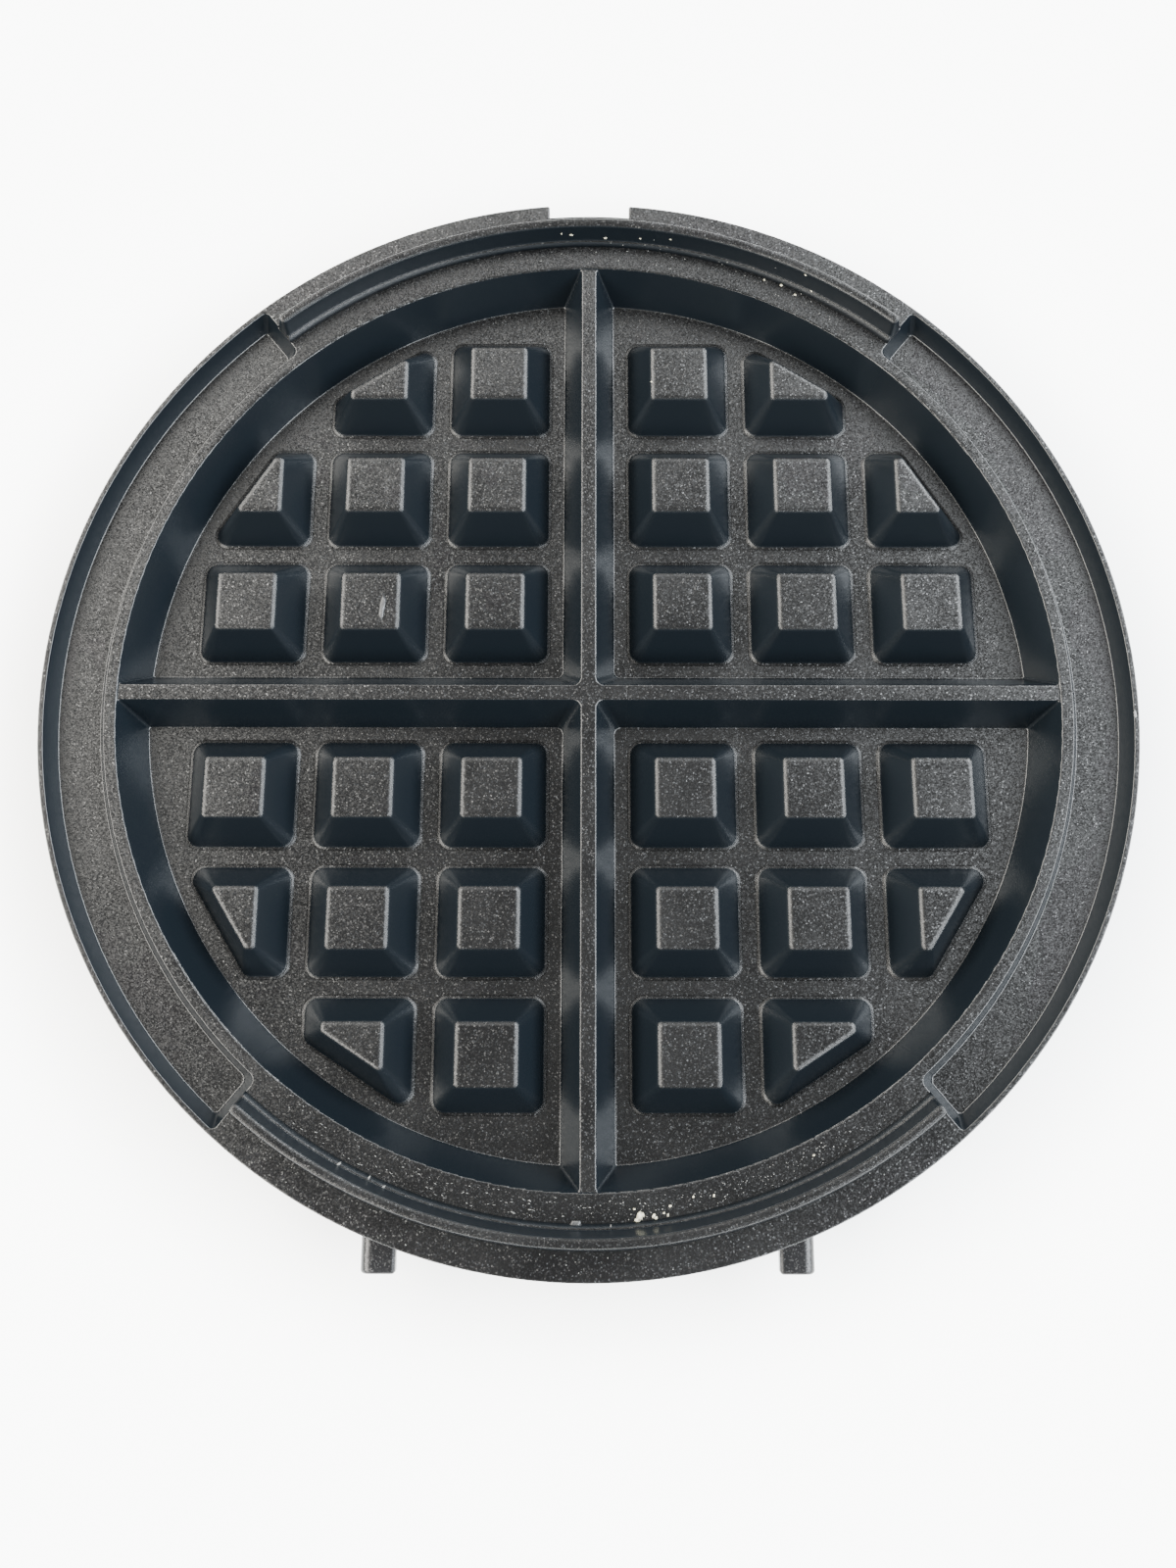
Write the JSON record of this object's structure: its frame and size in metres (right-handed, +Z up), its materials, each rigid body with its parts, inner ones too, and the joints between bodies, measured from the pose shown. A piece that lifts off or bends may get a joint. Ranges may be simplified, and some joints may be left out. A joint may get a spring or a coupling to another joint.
{
  "type": "waffle maker grid plate",
  "caption": "Round cooking grid plate for a Belgian waffle maker: pocket with square pegs and a divider cross, overflow channels, raised fences, latch notch and hinge lugs.",
  "frame": {"origin": "middle of the plate on the plane that its seat ring rests on", "axes": "+Z up out of the batter side, +Y to the latch notch, -Y to the hinge lugs, +X to the right"},
  "size_m": [0.2118, 0.2114, 0.0222],
  "materials": {
    "nonstick_coating": "satin",
    "worn_coating": "satin"
  },
  "bodies": {
    "root": {"divider_back": "nonstick_coating", "divider_front": "nonstick_coating", "divider_hub": "nonstick_coating", "divider_left": "nonstick_coating", "divider_right": "nonstick_coating", "fence_back": "nonstick_coating", "fence_front": "nonstick_coating", "flange_back": "nonstick_coating", "flange_front": "nonstick_coating", "hinge_lug_left": "worn_coating", "hinge_lug_right": "worn_coating", "overflow_channel_left": "nonstick_coating", "overflow_channel_right": "nonstick_coating", "peg_back_left_1": "nonstick_coating", "peg_back_left_2": "nonstick_coating", "peg_back_left_3": "nonstick_coating", "peg_back_left_4": "nonstick_coating", "peg_back_left_5": "nonstick_coating", "peg_back_left_6": "nonstick_coating", "peg_back_left_7": "nonstick_coating", "peg_back_left_8": "nonstick_coating", "peg_back_right_1": "nonstick_coating", "peg_back_right_2": "nonstick_coating", "peg_back_right_3": "nonstick_coating", "peg_back_right_4": "nonstick_coating", "peg_back_right_5": "nonstick_coating", "peg_back_right_6": "nonstick_coating", "peg_back_right_7": "nonstick_coating", "peg_back_right_8": "nonstick_coating", "peg_front_left_1": "nonstick_coating", "peg_front_left_2": "nonstick_coating", "peg_front_left_3": "nonstick_coating", "peg_front_left_4": "nonstick_coating", "peg_front_left_5": "nonstick_coating", "peg_front_left_6": "nonstick_coating", "peg_front_left_7": "nonstick_coating", "peg_front_left_8": "nonstick_coating", "peg_front_right_1": "nonstick_coating", "peg_front_right_2": "nonstick_coating", "peg_front_right_3": "nonstick_coating", "peg_front_right_4": "nonstick_coating", "peg_front_right_5": "nonstick_coating", "peg_front_right_6": "nonstick_coating", "peg_front_right_7": "nonstick_coating", "peg_front_right_8": "nonstick_coating", "pocket_floor_back_left": "nonstick_coating", "pocket_floor_back_right": "nonstick_coating", "pocket_floor_front_left": "nonstick_coating", "pocket_floor_front_right": "nonstick_coating", "pocket_wall_back": "nonstick_coating", "pocket_wall_front": "nonstick_coating", "pocket_wall_left": "nonstick_coating", "pocket_wall_right": "nonstick_coating", "seat_ring": "nonstick_coating"}
  },
  "joints": []
}
